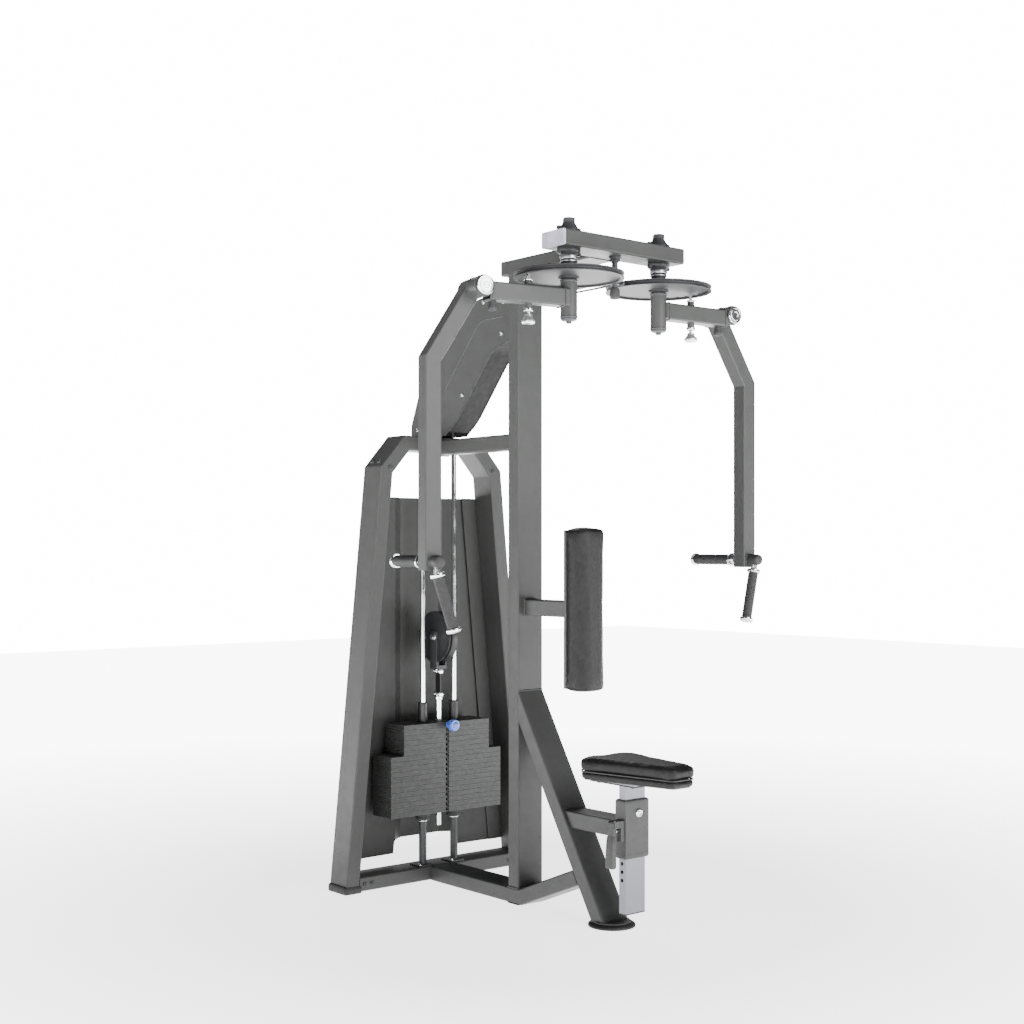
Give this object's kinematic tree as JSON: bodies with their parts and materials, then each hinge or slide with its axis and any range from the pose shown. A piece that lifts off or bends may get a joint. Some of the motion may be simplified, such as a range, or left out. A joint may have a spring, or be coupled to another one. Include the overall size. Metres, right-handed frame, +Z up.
{
  "type": "pec deck machine",
  "caption": "Free-standing pec fly and rear delt machine: weight tower, overhead crossbeam with two cams, swinging arms, seat and back pad.",
  "frame": {"origin": "on the floor under the middle of the main column's section", "axes": "+Z up, +X to the right as seen from the seat side looking at the machine, -Y towards the seat, +Y towards the weight tower"},
  "size_m": [1.2311, 1.251, 2.041],
  "materials": {
    "frame_grey": "satin powder coat",
    "shield_sheet": "satin powder coat on folded sheet",
    "dark_steel": "dark satin coat",
    "cam_metal": "dark metallic coat with bare edges",
    "plate_steel": "machined and blackened",
    "chrome": "polished",
    "silver_tube": "satin silver",
    "black_rubber": "ribbed and matt",
    "black_plastic": "moulded",
    "pulley_nylon": "turned nylon",
    "black_cable": "coated wire rope",
    "black_leather": "grained upholstery",
    "blue_knob": "moulded knob on a steel pin"
  },
  "bodies": {
    "root": {"main_column": "frame_grey", "overhead_boom": "frame_grey", "crossbeam": "frame_grey", "front_leg": "frame_grey", "spine_tube": "frame_grey", "tower_left_leg": "frame_grey", "tower_right_leg": "frame_grey", "tower_top_bar": "frame_grey", "tower_base_tube": "frame_grey", "link_beam": "frame_grey", "seat_bracket": "frame_grey", "seat_sleeve": "frame_grey", "back_pad_tube": "frame_grey", "guard_left_plate": "frame_grey", "guard_right_plate": "frame_grey", "guard_cover": "black_plastic", "floor_feet": "black_rubber", "rear_shield": "shield_sheet", "left_cam_cable": "black_cable", "right_cam_cable": "black_cable", "cable_drops": "black_cable", "guide_rods": "chrome", "rod_spacers": "dark_steel", "pivot_bearings": "dark_steel", "centre_stop": "dark_steel", "wide_plates": "plate_steel", "narrow_plates": "plate_steel", "back_pad": "black_leather", "back_pad_board": "black_plastic"},
    "left_cam": {"left_cam": "cam_metal", "left_pivot_shaft": "chrome"},
    "right_cam": {"right_cam": "cam_metal", "right_pivot_shaft": "chrome"},
    "left_lever": {"left_lever": "frame_grey", "left_hinge_pin": "chrome"},
    "right_lever": {"right_lever": "frame_grey", "right_hinge_pin": "chrome"},
    "left_pull_pin": {"left_pull_pin": "chrome"},
    "right_pull_pin": {"right_pull_pin": "chrome"},
    "left_arm": {"left_arm": "frame_grey", "left_handle": "chrome", "left_grips": "black_rubber"},
    "right_arm": {"right_arm": "frame_grey", "right_handle": "chrome", "right_grips": "black_rubber"},
    "lift": {"top_plate": "plate_steel", "selector_rod": "chrome", "rod_sleeves": "black_plastic", "lift_strap": "black_cable", "wheel_yoke": "dark_steel", "wheel_cable": "black_cable"},
    "selector_pin": {"selector_pin": "blue_knob"},
    "floating_wheel": {"floating_wheel": "pulley_nylon"},
    "upper_pulleys": {"upper_pulleys": "pulley_nylon"},
    "front_drop_pulley": {"front_drop_pulley": "pulley_nylon"},
    "rear_drop_pulley": {"rear_drop_pulley": "pulley_nylon"},
    "seat": {"seat_post": "silver_tube", "seat_pad": "black_leather"},
    "latch_pin": {"latch_pin": "chrome"},
    "release_lever": {"release_lever": "frame_grey"}
  },
  "joints": [
    {"name": "left_cam_turn", "type": "hinge", "parent": "root", "child": "left_cam", "pos_m": [-0.18, -0.404, 1.876], "axis": [0, 0, 1], "range_deg": [0, 75]},
    {"name": "right_cam_turn", "type": "hinge", "parent": "root", "child": "right_cam", "pos_m": [0.18, -0.404, 1.876], "axis": [0, 0, 1], "range_deg": [-75, 0]},
    {"name": "left_lever_start", "type": "hinge", "parent": "left_cam", "child": "left_lever", "pos_m": [-0.18, -0.404, 1.813], "axis": [0, 0, 1], "range_deg": [-42, 28]},
    {"name": "right_lever_start", "type": "hinge", "parent": "right_cam", "child": "right_lever", "pos_m": [0.18, -0.404, 1.813], "axis": [0, 0, 1], "range_deg": [-14, 56]},
    {"name": "left_pin_pull", "type": "slide", "parent": "left_lever", "child": "left_pull_pin", "axis": [0, 0, -1], "range_m": [0, 0.012], "stiffness_N_per_m": 600, "springref_m": -0.012},
    {"name": "left_arm_swing", "type": "hinge", "parent": "left_lever", "child": "left_arm", "pos_m": [-0.45976, -0.34962, 1.823], "axis": [0.1908, 0.9816, 0], "range_deg": [0, 45]},
    {"name": "right_pin_pull", "type": "slide", "parent": "right_lever", "child": "right_pull_pin", "axis": [0, 0, -1], "range_m": [0, 0.012], "stiffness_N_per_m": 600, "springref_m": -0.012},
    {"name": "right_arm_swing", "type": "hinge", "parent": "right_lever", "child": "right_arm", "pos_m": [0.46461, -0.41892, 1.823], "axis": [-0.0523, -0.9986, 0], "range_deg": [0, 45]},
    {"name": "stack_lift", "type": "slide", "parent": "root", "child": "lift", "axis": [0, 0, 1], "range_m": [0, 0.21], "deforming": ["cable_drops"]},
    {"name": "selector_pin_pull", "type": "slide", "parent": "lift", "child": "selector_pin", "axis": [0, -1, 0], "range_m": [0, 0.08]},
    {"name": "wheel_spin", "type": "hinge", "parent": "lift", "child": "floating_wheel", "pos_m": [0, 0.451, 0.807], "axis": [1, 0, 0], "continuous": true},
    {"name": "upper_pulley_spin", "type": "hinge", "parent": "root", "child": "upper_pulleys", "pos_m": [0, 0.095, 1.826], "axis": [1, 0, 0], "range_deg": [0, 241]},
    {"name": "front_pulley_spin", "type": "hinge", "parent": "root", "child": "front_drop_pulley", "pos_m": [0, 0.341, 1.565], "axis": [1, 0, 0], "range_deg": [0, 401]},
    {"name": "rear_pulley_spin", "type": "hinge", "parent": "root", "child": "rear_drop_pulley", "pos_m": [0, 0.501, 1.51], "axis": [1, 0, 0], "range_deg": [0, 401]},
    {"name": "seat_height", "type": "slide", "parent": "root", "child": "seat", "axis": [0, 0, 1], "range_m": [-0.024, 0.144]},
    {"name": "seat_release", "type": "hinge", "parent": "root", "child": "release_lever", "pos_m": [-0.0771, -0.476, 0.316], "axis": [0, 1, 0], "range_deg": [0, 16], "stiffness_Nm_per_rad": 1, "springref_deg": -17.19},
    {"name": "latch_pin_slide", "type": "slide", "parent": "root", "child": "latch_pin", "axis": [-1, 0, 0], "range_m": [0, 0.004]}
  ],
  "couplings": [
    {"joint": "right_cam_turn", "follows": "left_cam_turn", "ratio": -1},
    {"joint": "stack_lift", "follows": "left_cam_turn", "m_per_rad": 0.16},
    {"joint": "upper_pulley_spin", "follows": "left_cam_turn", "ratio": 3.2},
    {"joint": "front_pulley_spin", "follows": "left_cam_turn", "ratio": 5.3333},
    {"joint": "rear_pulley_spin", "follows": "left_cam_turn", "ratio": 5.3333},
    {"joint": "latch_pin_slide", "follows": "seat_release", "m_per_rad": 0.014}
  ]
}
